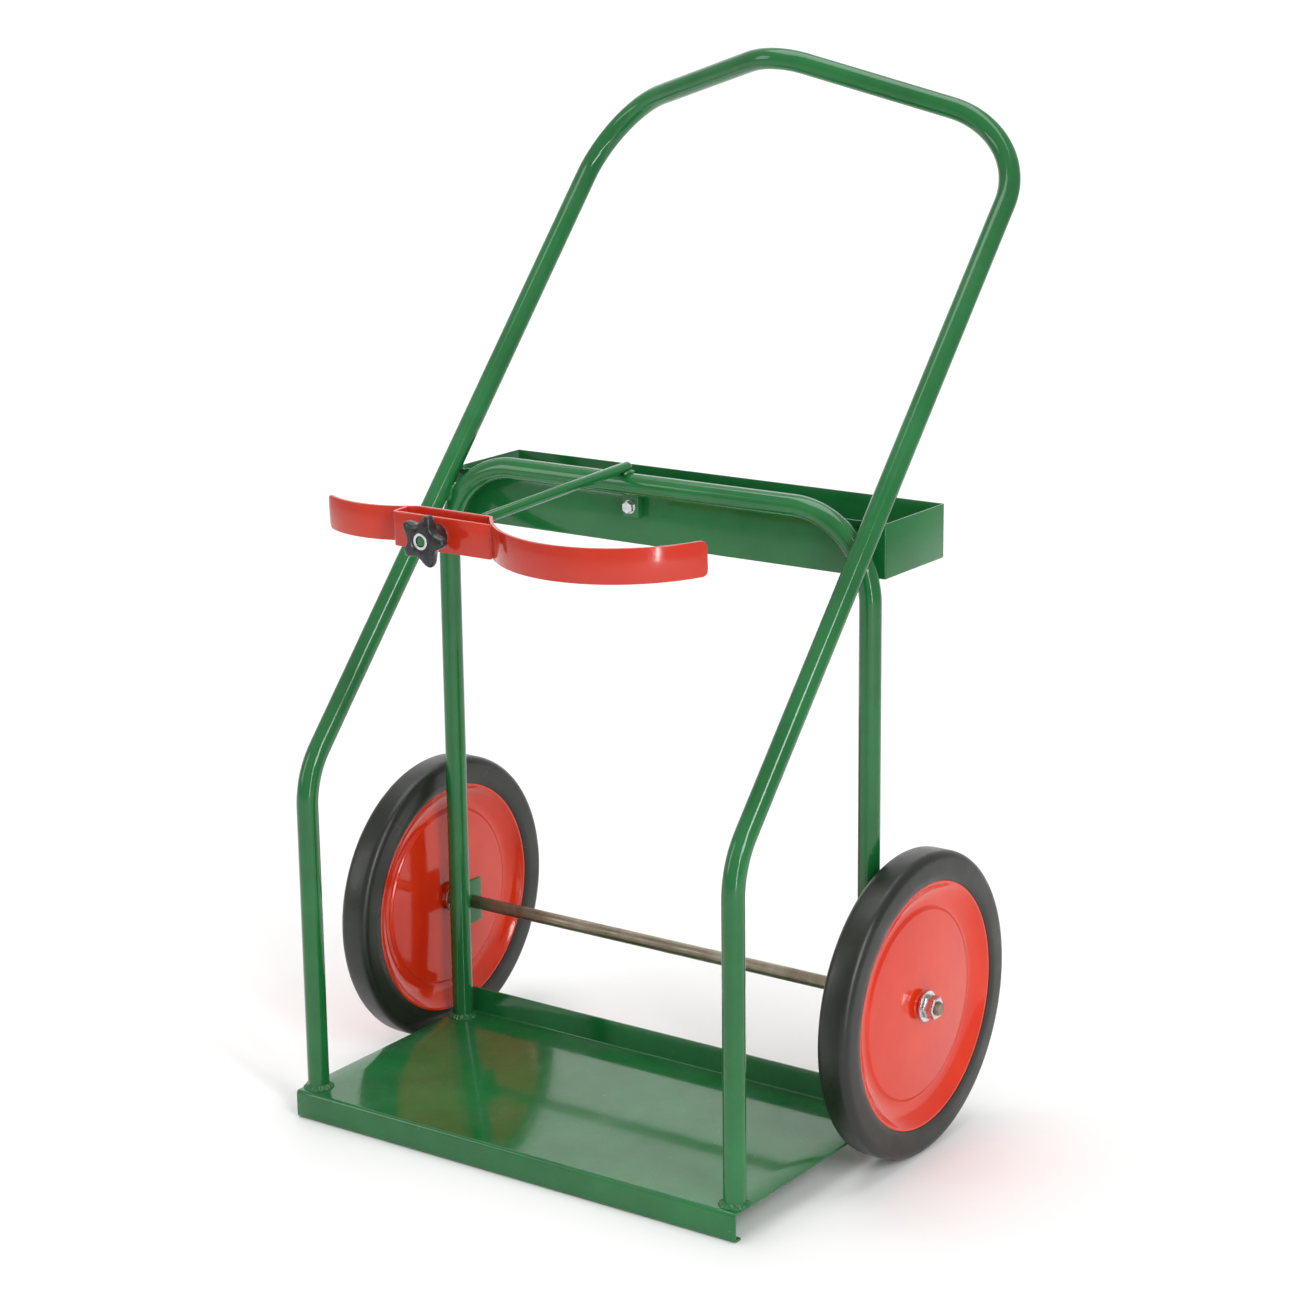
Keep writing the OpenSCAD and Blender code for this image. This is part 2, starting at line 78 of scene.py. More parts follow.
def noise_at(tree, scale, detail=2.0, roughness=0.5, stretch=None):
    coords = tree.nodes.new("ShaderNodeTexCoord")
    source = coords.outputs["Object"]
    if stretch:
        mapping = tree.nodes.new("ShaderNodeMapping")
        mapping.inputs["Scale"].default_value = stretch
        tree.links.new(source, mapping.inputs["Vector"])
        source = mapping.outputs["Vector"]
    tex = tree.nodes.new("ShaderNodeTexNoise")
    if isinstance(scale, (int, float)):
        tex.inputs["Scale"].default_value = scale
    else:
        tree.links.new(scale, tex.inputs["Scale"])
    tex.inputs["Detail"].default_value = detail
    tex.inputs["Roughness"].default_value = roughness
    tree.links.new(source, tex.inputs["Vector"])
    return tex.outputs["Fac"]


def remap(tree, value, low, high, to_low, to_high):
    node = tree.nodes.new("ShaderNodeMapRange")
    node.inputs["From Min"].default_value = low
    node.inputs["From Max"].default_value = high
    node.inputs["To Min"].default_value = to_low
    node.inputs["To Max"].default_value = to_high
    tree.links.new(value, node.inputs["Value"])
    return node.outputs["Result"]


def mix_colour(tree, factor, a, b):
    node = tree.nodes.new("ShaderNodeMix")
    node.data_type = "RGBA"
    tree.links.new(factor, node.inputs[0])
    for value, socket in ((a, node.inputs[6]), (b, node.inputs[7])):
        if isinstance(value, tuple):
            socket.default_value = (*value, 1)
        else:
            tree.links.new(value, socket)
    return node.outputs[2]


def calc(tree, operation, a, b):
    node = tree.nodes.new("ShaderNodeMath")
    node.operation = operation
    for value, socket in ((a, node.inputs[0]), (b, node.inputs[1])):
        if isinstance(value, (int, float)):
            socket.default_value = value
        else:
            tree.links.new(value, socket)
    return node.outputs[0]


def make_orange_peel():
    """The fine waviness of brushed or sprayed enamel, as a height."""
    tree, inp, out = group(
        "orange_peel",
        [("Fineness", "NodeSocketFloat", 350.0), ("Sag", "NodeSocketFloat", 0.5)],
        "Height",
        "NodeSocketFloat",
    )
    fine = noise_at(tree, inp.outputs["Fineness"], 1.0)
    sag = noise_at(tree, 18.0, 2.0)
    sagging = calc(tree, "MULTIPLY", sag, inp.outputs["Sag"])
    tree.links.new(calc(tree, "ADD", fine, sagging), out.inputs[0])
    return tree


def make_shop_dust():
    """Dust that settles on faces that look up, as a mask."""
    tree, inp, out = group(
        "shop_dust", [("Amount", "NodeSocketFloat", 0.3)], "Mask", "NodeSocketFloat"
    )
    geometry = tree.nodes.new("ShaderNodeNewGeometry")
    split = tree.nodes.new("ShaderNodeSeparateXYZ")
    tree.links.new(geometry.outputs["Normal"], split.inputs[0])
    up = remap(tree, split.outputs["Z"], 0.2, 1.0, 0.0, 1.0)
    patches = remap(tree, noise_at(tree, 9.0, 6.0, 0.65), 0.42, 0.72, 0.15, 1.0)
    specks = remap(tree, noise_at(tree, 900.0, 1.0), 0.55, 0.75, 0.3, 1.0)
    mask = calc(tree, "MULTIPLY", up, calc(tree, "MULTIPLY", patches, specks))
    tree.links.new(calc(tree, "MULTIPLY", mask, inp.outputs["Amount"]), out.inputs[0])
    return tree


def make_chips():
    """Small chips and rubbed spots, more of them near the ground, as a mask."""
    tree, inp, out = group(
        "chips",
        [("Height", "NodeSocketFloat", 0.12), ("Amount", "NodeSocketFloat", 1.0)],
        "Mask",
        "NodeSocketFloat",
    )
    coords = tree.nodes.new("ShaderNodeTexCoord")
    split = tree.nodes.new("ShaderNodeSeparateXYZ")
    tree.links.new(coords.outputs["Object"], split.inputs[0])
    low = calc(tree, "SUBTRACT", 1.0, calc(tree, "DIVIDE", split.outputs["Z"], inp.outputs["Height"]))
    low = remap(tree, low, 0.0, 1.0, 0.0, 0.06)
    spots = calc(tree, "ADD", noise_at(tree, 140.0, 4.0, 0.7), low)
    mask = remap(tree, spots, 0.74, 0.77, 0.0, 1.0)
    tree.links.new(calc(tree, "MULTIPLY", mask, inp.outputs["Amount"]), out.inputs[0])
    return tree


ORANGE_PEEL = make_orange_peel()
SHOP_DUST = make_shop_dust()
CHIPS = make_chips()


def use(tree, group_tree, **values):
    node = tree.nodes.new("ShaderNodeGroup")
    node.node_tree = group_tree
    for key, value in values.items():
        node.inputs[key].default_value = value
    return node.outputs[0]


def bump(tree, shader, height, distance, strength=1.0):
    node = tree.nodes.new("ShaderNodeBump")
    node.inputs["Distance"].default_value = distance
    node.inputs["Strength"].default_value = strength
    tree.links.new(height, node.inputs["Height"])
    tree.links.new(node.outputs["Normal"], shader.inputs["Normal"])


def enamel(name, deep, light, peel=0.00006, dust=0.25, rough=0.12, primer=(0.12, 0.11, 0.1)):
    """Gloss enamel over steel: clouds of tone, orange peel, dust above and a few chips low down."""
    mat, tree, shader = material(name)
    clouds = remap(tree, noise_at(tree, 6.0, 5.0, 0.6), 0.3, 0.7, 0.0, 1.0)
    paint = mix_colour(tree, clouds, deep, light)
    dusty = use(tree, SHOP_DUST, Amount=dust)
    paint = mix_colour(tree, dusty, paint, (0.3, 0.31, 0.28))
    chip = use(tree, CHIPS, Amount=0.8)
    paint = mix_colour(tree, chip, paint, primer)
    tree.links.new(paint, shader.inputs["Base Color"])
    smears = remap(tree, noise_at(tree, 14.0, 6.0, 0.7), 0.35, 0.75, rough * 0.7, rough * 1.9)
    rough_out = calc(tree, "ADD", smears, calc(tree, "MULTIPLY", dusty, 0.6))
    rough_out = calc(tree, "ADD", rough_out, calc(tree, "MULTIPLY", chip, 0.4))
    tree.links.new(rough_out, shader.inputs["Roughness"])
    shader.inputs["IOR"].default_value = 1.52
    shader.inputs["Specular IOR Level"].default_value = 0.4
    shader.inputs["Coat Weight"].default_value = 0.2
    shader.inputs["Coat Roughness"].default_value = 0.04
    bump(tree, shader, use(tree, ORANGE_PEEL, Fineness=260.0, Sag=1.4), peel)
    return mat


def rubber(name):
    mat, tree, shader = material(name)
    clouds = remap(tree, noise_at(tree, 11.0, 6.0, 0.65), 0.3, 0.7, 0.0, 1.0)
    colour = mix_colour(tree, clouds, (0.006, 0.008, 0.005), (0.016, 0.019, 0.013))
    dusty = use(tree, SHOP_DUST, Amount=0.12)
    colour = mix_colour(tree, dusty, colour, (0.2, 0.2, 0.18))
    tree.links.new(colour, shader.inputs["Base Color"])
    sheen = remap(tree, noise_at(tree, 30.0, 5.0, 0.6), 0.3, 0.7, 0.26, 0.42)
    tree.links.new(sheen, shader.inputs["Roughness"])
    fine = noise_at(tree, 1400.0, 2.0)
    grain = calc(tree, "ADD", fine, calc(tree, "MULTIPLY", noise_at(tree, 90.0, 3.0), 1.5))
    bump(tree, shader, grain, 0.00006)
    return mat


def bare_steel(name):
    mat, tree, shader = material(name)
    clouds = remap(tree, noise_at(tree, 14.0, 7.0, 0.7), 0.35, 0.68, 0.0, 1.0)
    colour = mix_colour(tree, clouds, (0.2, 0.155, 0.1), (0.42, 0.37, 0.29))
    streaks = remap(tree, noise_at(tree, 60.0, 4.0, 0.6, (0.12, 1, 1)), 0.4, 0.7, 0.0, 0.6)
    colour = mix_colour(tree, streaks, colour, (0.09, 0.07, 0.05))
    tree.links.new(colour, shader.inputs["Base Color"])
    shader.inputs["Metallic"].default_value = 0.9
    dull = remap(tree, noise_at(tree, 40.0, 5.0), 0.3, 0.7, 0.28, 0.5)
    tree.links.new(dull, shader.inputs["Roughness"])
    bump(tree, shader, noise_at(tree, 700.0, 3.0, 0.6, (0.08, 1, 1)), 0.00004)
    return mat


def zinc(name):
    mat, tree, shader = material(name)
    clouds = remap(tree, noise_at(tree, 160.0, 5.0, 0.6), 0.3, 0.7, 0.0, 1.0)
    colour = mix_colour(tree, clouds, (0.55, 0.56, 0.57), (0.82, 0.83, 0.84))
    tree.links.new(colour, shader.inputs["Base Color"])
    shader.inputs["Metallic"].default_value = 1.0
    dull = remap(tree, noise_at(tree, 90.0, 4.0), 0.3, 0.7, 0.16, 0.34)
    tree.links.new(dull, shader.inputs["Roughness"])
    bump(tree, shader, noise_at(tree, 1500.0, 2.0), 0.00003)
    return mat


def knob_plastic(name):
    mat, tree, shader = material(name)
    clouds = remap(tree, noise_at(tree, 60.0, 4.0, 0.6), 0.3, 0.7, 0.0, 1.0)
    colour = mix_colour(tree, clouds, (0.008, 0.008, 0.009), (0.02, 0.02, 0.022))
    dusty = use(tree, SHOP_DUST, Amount=0.15)
    colour = mix_colour(tree, dusty, colour, (0.25, 0.25, 0.23))
    tree.links.new(colour, shader.inputs["Base Color"])
    dull = remap(tree, noise_at(tree, 120.0, 4.0), 0.3, 0.7, 0.2, 0.36)
    tree.links.new(dull, shader.inputs["Roughness"])
    bump(tree, shader, noise_at(tree, 900.0, 2.0), 0.00005)
    return mat


GREEN = enamel("green_enamel", (0.004, 0.1, 0.021), (0.014, 0.165, 0.042), rough=0.09)
WHEEL_RED = enamel("wheel_red_enamel", (0.6, 0.022, 0.005), (0.74, 0.04, 0.009), dust=0.04, rough=0.1)
STRAP_RED = enamel("strap_red_enamel", (0.48, 0.022, 0.008), (0.6, 0.036, 0.014), dust=0.06, rough=0.12)
RUBBER = rubber("tyre_rubber")
STEEL = bare_steel("axle_steel")
ZINC = zinc("zinc_plate")
PLASTIC = knob_plastic("knob_plastic")

# ---------------------------------------------------------------- shaping

def piece(bm, name, body, mat, stands_for=(), crease=32.0):
    """Turns a finished bmesh into a named piece that rides on a body."""
    bmesh.ops.remove_doubles(bm, verts=bm.verts, dist=2e-6)
    bmesh.ops.recalc_face_normals(bm, faces=bm.faces)
    for face in bm.faces:
        face.smooth = True
    for edge in bm.edges:
        edge.smooth = edge.calc_face_angle(0.0) < math.radians(crease)
    mesh = bpy.data.meshes.new(name)
    bm.to_mesh(mesh)
    bm.free()
    mesh.materials.append(mat)
    obj = bpy.data.objects.new(name, mesh)
    bpy.context.scene.collection.objects.link(obj)
    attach(obj, body)
    if stands_for:
        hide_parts(*stands_for)
    return obj


def edges_of(geom):
    return [g for g in geom if isinstance(g, bmesh.types.BMEdge)]


def verts_of(geom):
    return [g for g in geom if isinstance(g, bmesh.types.BMVert)]


def turn_to(axis):
    """The turn that takes +Z to axis."""
    return Z.rotation_difference(axis).to_matrix().to_4x4()


def bent_tube(bm, radius, start, heading, moves, sides=48):
    """Pushes a ring along ("run", length) and ("bend", degrees, towards, bend radius) moves."""
    place = Matrix.Translation(start) @ turn_to(heading)
    ring = bmesh.ops.create_circle(bm, segments=sides, radius=radius, cap_ends=True, matrix=place)
    ring = list({e for v in ring["verts"] for e in v.link_edges})
    spot, way = Vector(start), Vector(heading).normalized()
    for move in moves:
        if move[0] == "run":
            grown = bmesh.ops.extrude_edge_only(bm, edges=ring)["geom"]
            bmesh.ops.translate(bm, verts=verts_of(grown), vec=way * move[1])
            moved = set(verts_of(grown))
            ring = [e for e in edges_of(grown) if e.verts[0] in moved and e.verts[1] in moved]
            spot = spot + way * move[1]
        else:
            _, degrees, towards, bend_radius = move
            towards = Vector(towards).normalized()
            centre = spot + towards * bend_radius
            axis = way.cross(towards)
            steps = max(6, round(degrees / 2.5))
            spun = bmesh.ops.spin(
                bm, geom=ring, cent=centre, axis=axis, angle=math.radians(degrees),
                steps=steps, use_merge=False, use_duplicate=False,
            )["geom_last"]
            ring = edges_of(spun)
            turn = Matrix.Rotation(math.radians(degrees), 3, axis)
            spot = centre + turn @ (spot - centre)
            way = turn @ way
    bmesh.ops.edgeloop_fill(bm, edges=ring)
    return spot, way


def outline(bm, points, rounds):
    """A closed outline in the XZ plane: rounds maps a radius to the corners that it rounds."""
    corners = [bm.verts.new((x, 0, z)) for x, z in points]
    bm.faces.new(corners)
    for radius, numbers in rounds.items():
        bmesh.ops.bevel(
            bm, geom=[corners[i] for i in numbers], offset=radius, offset_type="OFFSET",
            affect="VERTICES", segments=5, profile=0.5, material=-1, clamp_overlap=True,
        )
    return list(bm.faces)


def turned(points, rounds, centre, axis, sides=64):
    """A turned part: an outline of (radius, along) points spun about an axis."""
    bm = bmesh.new()
    faces = outline(bm, points, rounds)
    bmesh.ops.delete(bm, geom=faces, context="FACES_ONLY")
    on_axis = [e for e in bm.edges if max(abs(v.co.x) for v in e.verts) < 1e-7]
    bmesh.ops.delete(bm, geom=on_axis, context="EDGES")
    bmesh.ops.spin(
        bm, geom=list(bm.verts) + list(bm.edges), cent=(0, 0, 0), axis=(0, 0, 1),
        angle=math.tau, steps=sides, use_merge=True, use_duplicate=False,
    )
    bmesh.ops.remove_doubles(bm, verts=bm.verts, dist=1e-6)
    bmesh.ops.transform(bm, matrix=Matrix.Translation(centre) @ turn_to(axis), verts=bm.verts)
    return bm


def ring_of(inner, outer, low, high, soft, centre, axis, sides=64):
    points = [(inner, low), (outer, low), (outer, high), (inner, high)]
    return turned(points, {soft: [0, 1, 2, 3]}, centre, axis, sides)


def join(bm, other):
    """Adds another bmesh to this one."""
    mesh = bpy.data.meshes.new("joining")
    other.to_mesh(mesh)
    other.free()
    bm.from_mesh(mesh)
    bpy.data.meshes.remove(mesh)
    return bm


def hexagon(flats, low, high, bore, centre, axis):
    """A hexagon nut or bolt head with chamfered corners; bore 0 makes it solid."""
    chamfer, chamfer_drop = flats * 0.06, flats * 0.035
    bm = bmesh.new()
    place = Matrix.Translation((0, 0, low))
    bmesh.ops.create_circle(bm, segments=6, radius=flats / math.sqrt(3), cap_ends=True, matrix=place)
    grown = bmesh.ops.extrude_face_region(bm, geom=list(bm.faces))["geom"]
    bmesh.ops.translate(bm, verts=verts_of(grown), vec=(0, 0, high - low))
    top = [f for f in bm.faces if all(abs(v.co.z - high) < 1e-7 for v in f.verts)]
    bottom = [f for f in bm.faces if all(abs(v.co.z - low) < 1e-7 for v in f.verts)]
    for cap in (top, bottom):
        bmesh.ops.inset_region(bm, faces=cap, thickness=chamfer, depth=0.0)
    rims = [v for v in bm.verts if v.co.xy.length > flats * 0.55]
    for v in rims:
        v.co.z += (-1 if v.co.z > (low + high) / 2 else 1) * chamfer_drop
    if bore:
        for cap in (top, bottom):
            bmesh.ops.inset_region(bm, faces=cap, thickness=flats / 2 - bore - chamfer, depth=0.0)
            bmesh.ops.subdivide_edges(bm, edges=list(cap[0].edges), cuts=3)
            for v in cap[0].verts:
                v.co.xy = v.co.xy.normalized() * bore
        rings = [list(c[0].edges) for c in (top, bottom)]
        bmesh.ops.delete(bm, geom=top + bottom, context="FACES_ONLY")
        bmesh.ops.bridge_loops(bm, edges=rings[0] + rings[1])
    bmesh.ops.bevel(
        bm, geom=[e for e in bm.edges if e.calc_face_angle(0) > 0.6], offset=0.0003,
        affect="EDGES", segments=2, profile=0.5, material=-1, clamp_overlap=True,
    )
    bmesh.ops.transform(bm, matrix=Matrix.Translation(centre) @ turn_to(axis), verts=bm.verts)
    return bm


def thread(radius, pitch, length, centre, axis, steps=24):
    """A helical ridge, sunk into the shaft it is on."""
    bm = bmesh.new()
    deep = radius - pitch * 0.55
    ridge = [
        (deep, -pitch * 0.47), (radius, -pitch * 0.06),
        (radius, pitch * 0.06), (deep, pitch * 0.47),
    ]
    face = bm.faces.new([bm.verts.new((x, 0, z)) for x, z in ridge])
    turns = max(1, round(length / pitch))
    bmesh.ops.spin(
        bm, geom=[face], cent=(0, 0, 0), axis=(0, 0, 1), dvec=(0, 0, pitch / steps),
        angle=math.tau * turns, steps=steps * turns, use_merge=False, use_duplicate=False,
    )
    bmesh.ops.transform(bm, matrix=Matrix.Translation(centre) @ turn_to(axis), verts=bm.verts)
    return bm


def wobble(bm, verts, size, amount, seed):
    """Moves points along their normals by smooth noise, as hand-made weld metal is uneven."""
    bm.normal_update()
    shift = Vector((seed * 3.1, seed * 1.7, seed * 2.3))
    for v in verts:
        v.co += v.normal * amount * noise.noise(v.co / size + shift)


# ---------------------------------------------------------------- sizes read from the frame

frame_lo, frame_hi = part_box("handle_frame")
rear_lo, rear_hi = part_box("rear_frame")
tray_lo, tray_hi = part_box("base_tray")
TUBE = 12.7 * MM
BEND = 100 * MM
LEAN = math.radians(41.6)
LEG_X = frame_hi.x - TUBE
FRONT_Y = frame_lo.y + TUBE
REAR_Y = (rear_lo.y + rear_hi.y) / 2
FLOOR_Z = frame_lo.z
LEAN_Z = 417 * MM
GRIP_Z = 1125 * MM
GRIP_RISE = 130 * MM
BAR_Z = rear_hi.z - TUBE
SHEET = 3 * MM

# ---------------------------------------------------------------- frame

def handle_path():
    lean_tangent = BEND * math.tan(LEAN / 2)
    lean_length = (GRIP_Z - LEAN_Z) / math.cos(LEAN)
    grip_half = math.hypot(LEG_X, GRIP_RISE)
    peak = math.atan2(GRIP_RISE, LEG_X)
    up_lean = Vector((0, math.sin(LEAN), math.cos(LEAN)))
    rise = Vector((0, -math.cos(LEAN), math.sin(LEAN)))
    grip_way = (X * LEG_X + rise * GRIP_RISE).normalized()
    down_way = (X * LEG_X - rise * GRIP_RISE).normalized()
    to_down = (down_way - grip_way * grip_way.dot(down_way)).normalized()
    run_grip = grip_half - BEND - BEND * math.tan(peak)
    return [
        ("run", LEAN_Z - FLOOR_Z - lean_tangent),
        ("bend", math.degrees(LEAN), Y, BEND),
        ("run", lean_length - lean_tangent - BEND),
        ("bend", 90, grip_way, BEND),
        ("run", run_grip),
        ("bend", math.degrees(2 * peak), to_down, BEND),
        ("run", run_grip),
        ("bend", 90, -up_lean, BEND),
        ("run", lean_length - lean_tangent - BEND),
        ("bend", math.degrees(LEAN), Y * math.cos(LEAN) - Z * math.sin(LEAN), BEND),
        ("run", LEAN_Z - FLOOR_Z - lean_tangent),
    ]


bm = bmesh.new()
bent_tube(bm, TUBE, (-LEG_X, FRONT_Y, FLOOR_Z), Z, handle_path())
piece(bm, "handle_tube", "cart", GREEN, ["handle_frame"])

bm = bmesh.new()
leg = BAR_Z - BEND - FLOOR_Z
bent_tube(bm, TUBE, (-LEG_X, REAR_Y, FLOOR_Z), Z, [
    ("run", leg), ("bend", 90, X, BEND), ("run", 2 * (LEG_X - BEND)),
    ("bend", 90, -Z, BEND), ("run", leg),
])
piece(bm, "rear_tube", "cart", GREEN, ["rear_frame"])

def extrude_along(bm, edges, vec):
    grown = bmesh.ops.extrude_edge_only(bm, edges=edges)["geom"]
    new = set(verts_of(grown))
    bmesh.ops.translate(bm, verts=list(new), vec=vec)
    return [e for e in edges_of(grown) if e.verts[0] in new and e.verts[1] in new]


def thicken(bm, thickness, towards):
    """Gives an open sheet its thickness on the side that towards(face) points to."""
    bmesh.ops.recalc_face_normals(bm, faces=bm.faces)
    bm.normal_update()
    bm.faces.ensure_lookup_table()
    face = max(bm.faces, key=lambda f: f.calc_area())
    if face.normal.dot(towards(face.calc_center_median())) > 0:
        bmesh.ops.reverse_faces(bm, faces=bm.faces)
        bm.normal_update()
    shell = list(bm.faces)
    bmesh.ops.solidify(bm, geom=shell, thickness=thickness)


def soften(bm, width, segments=2, angle=35.0):
    sharp = [e for e in bm.edges if e.is_manifold and e.calc_face_angle(0) > math.radians(angle)]
    bmesh.ops.bevel(
        bm, geom=sharp, offset=width, offset_type="OFFSET", affect="EDGES",
        segments=segments, profile=0.5, material=-1, clamp_overlap=True,
    )


def folded_sheet(points, rounds, thickness, x0, x1, towards):
    """A sheet folded along X: its top side follows (y, z) points, its folds are rounded."""
    bm = bmesh.new()
    verts = [bm.verts.new((x0, y, z)) for y, z in points]
    edges = [bm.edges.new(pair) for pair in zip(verts, verts[1:])]
    steps = 24
    row = edges
    for _ in range(steps):
        row = extrude_along(bm, row, X * (x1 - x0) / steps)
    for radius, spots in rounds.items():
        chosen = [
            e for e in bm.edges
            if abs(e.verts[0].co.x - e.verts[1].co.x) > 1e-6
            and any((Vector(points[i]) - e.verts[0].co.yz).length < 1e-6 for i in spots)
        ]
        bmesh.ops.bevel(
            bm, geom=chosen, offset=radius, offset_type="OFFSET", affect="EDGES",
            segments=5, profile=0.5, material=-1, clamp_overlap=True,
        )
    thicken(bm, thickness, towards)
    soften(bm, 0.4 * MM, angle=60)
    return bm


def block(lo, hi, soft):
    bm = bmesh.new()
    size = Vector(hi) - Vector(lo)
    middle = (Vector(hi) + Vector(lo)) / 2
    place = Matrix.Translation(middle) @ Matrix.Diagonal((*size, 1))
    bmesh.ops.create_cube(bm, size=1.0, matrix=place)
    soften(bm, soft, 3)
    return bm


def bead(start, end, radius, seed, ripple=2.2 * MM):
    """A run of weld metal from start to end, with the ripples of a hand-moved torch."""
    bm = bmesh.new()
    start, end = Vector(start), Vector(end)
    length = (end - start).length
    steps = max(8, round(length / (0.5 * MM)))
    overrun = radius * 0.3
    first = Matrix.Translation((0, 0, -overrun))
    bmesh.ops.create_circle(bm, segments=16, radius=radius, cap_ends=True, matrix=first)
    ring = list(bm.edges)
    for _ in range(steps):
        ring = extrude_along(bm, ring, Z * (length + radius * 0.6) / steps)
    bmesh.ops.edgeloop_fill(bm, edges=ring)
    for v in bm.verts:
        along = v.co.z
        from_end = max(0.0, min(along + radius * 0.3, length + radius * 0.3 - along))
        ends = min(1.0, math.sqrt(from_end / radius + 0.02))
        wave = 1 + 0.1 * math.sin(math.tau * along / ripple + seed)
        v.co.xy = v.co.xy * wave * ends
    wobble(bm, list(bm.verts), 3 * MM, 0.5 * MM, seed)
    place = Matrix.Translation(start) @ turn_to((end - start).normalized())
    bmesh.ops.transform(bm, matrix=place, verts=bm.verts)
    return bm


def blob(centre, size, seed, turn=0.0):
    bm = bmesh.new()
    place = Matrix.Translation(centre) @ Matrix.Rotation(turn, 4, X) @ Matrix.Diagonal((*size, 1))
    bmesh.ops.create_icosphere(bm, subdivisions=4, radius=1.0)
    bmesh.ops.transform(bm, matrix=place, verts=bm.verts)
    wobble(bm, list(bm.verts), 3.5 * MM, 1.0 * MM, seed)
    return bm


# tray
tray_points = [
    (6 * MM, 0.0), (-6 * MM, 0.0), (-6 * MM, FLOOR_Z),
    (tray_hi.y - SHEET, FLOOR_Z), (tray_hi.y - SHEET, tray_hi.z),
]


def tray_underside(spot):
    if spot.z > FLOOR_Z + 5 * MM or spot.y < -5 * MM:
        return Y
    return -Z if spot.z > 20 * MM else Z


tray_rounds = {4.5 * MM: [1, 2], 2.5 * MM: [3]}
bm = folded_sheet(tray_points, tray_rounds, SHEET, tray_lo.x, tray_hi.x, tray_underside)
piece(bm, "tray_sheet", "cart", GREEN, ["base_tray"])

# foot welds
bm = bmesh.new()
fillet = [(12 * MM, 0), (18.2 * MM, 0), (16.6 * MM, 2.2 * MM), (12 * MM, 5.5 * MM)]
for count, (sx, y) in enumerate([(-1, FRONT_Y), (1, FRONT_Y), (-1, REAR_Y), (1, REAR_Y)]):
    ring = turned(fillet, {1.2 * MM: [1, 2]}, (sx * LEG_X, y, FLOOR_Z), Z, 160)
    for v in ring.verts:
        out = Vector((v.co.x - sx * LEG_X, v.co.y - y, 0))
        around = math.atan2(out.y, out.x)
        if out.length > 12.6 * MM:
            v.co += out.normalized() * 0.5 * MM * math.sin(around * 22 + count)
    wobble(ring, [v for v in ring.verts if v.co.z > FLOOR_Z + 0.3 * MM], 4 * MM, 1.3 * MM, count + 3)
    join(bm, ring)
piece(bm, "foot_weld_beads", "cart", GREEN, ["foot_welds"], crease=70)

# welds between the rear frame's corners and the leaning legs
lo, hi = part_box("corner_welds")
bm = bmesh.new()
for sx in (-1, 1):
    spot = (sx * (hi.x - 9 * MM), (lo.y + hi.y) / 2, (lo.z + hi.z) / 2)
    join(bm, blob(spot, (9 * MM, 7 * MM, 12 * MM), 5 + sx, -0.4))
piece(bm, "corner_weld_metal", "cart", GREEN, ["corner_welds"], crease=80)

# tool tray
lo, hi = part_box("tool_tray")
bm = bmesh.new()
size, middle = hi - lo, (hi + lo) / 2
place = Matrix.Translation(middle) @ Matrix.Diagonal((*size, 1))
bmesh.ops.create_cube(bm, size=1.0, matrix=place)
bmesh.ops.delete(bm, geom=[f for f in bm.faces if f.normal.z > 0.9], context="FACES_ONLY")
folds = [e for e in bm.edges if not e.is_boundary]
bmesh.ops.bevel(bm, geom=folds, offset=2.6 * MM, offset_type="OFFSET", affect="EDGES", segments=4,
                profile=0.5, material=-1, clamp_overlap=True)
thicken(bm, 2 * MM, lambda spot: middle - spot)
soften(bm, 0.35 * MM, 2, 60)
piece(bm, "tool_tray_sheet", "cart", GREEN, ["tool_tray"])

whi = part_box("tool_tray_welds")[1]
bm = bmesh.new()
for sx in (-1, 1):
    spot = (sx * (whi.x - 8 * MM), lo.y - 0.5 * MM, hi.z - 0.5 * MM)
    join(bm, blob(spot, (9 * MM, 5 * MM, 5 * MM), 9 + sx))
piece(bm, "tool_tray_weld_metal", "cart", GREEN, ["tool_tray_welds"], crease=80)

# lug, its bolt, washers and nut
llo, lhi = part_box("tool_tray_lug")
bm = block(llo, lhi, 1.2 * MM)
seam_y, seam_z = REAR_Y + 11 * MM, lhi.z - 2 * MM
join(bm, bead((llo.x, seam_y, seam_z), (lhi.x, seam_y, seam_z), 2.6 * MM, 2))
piece(bm, "tool_tray_lug_plate", "cart", GREEN, ["tool_tray_lug"])
blo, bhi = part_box("lug_bolt")
bolt_x, bolt_z = (blo.x + bhi.x) / 2, (blo.z + bhi.z) / 2
bolt_at = Vector((bolt_x, blo.y, bolt_z))
bm = hexagon(13 * MM, 0, 5.3 * MM, 0, bolt_at, Y)
core, bolt_length = 3.4 * MM, bhi.y - blo.y
shank = [(0, 5 * MM), (core, 5 * MM), (core, bolt_length), (0, bolt_length)]
join(bm, turned(shank, {0.8 * MM: [2]}, bolt_at, Y, 32))
join(bm, thread(4 * MM, 1.25 * MM, 14 * MM, Vector((bolt_x, bhi.y - 15 * MM, bolt_z)), Y, 20))
piece(bm, "lug_bolt_body", "cart", ZINC, ["lug_bolt"])
slo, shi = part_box("lug_washers")
bm = bmesh.new()
for low, high in ((slo.y, slo.y + 1.6 * MM), (shi.y - 1.6 * MM, shi.y)):
    join(bm, ring_of(4.2 * MM, 8 * MM, low, high, 0.3 * MM, (bolt_x, 0, bolt_z), Y, 40))
piece(bm, "lug_washer_pair", "cart", ZINC, ["lug_washers"])
nlo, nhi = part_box("lug_nut")
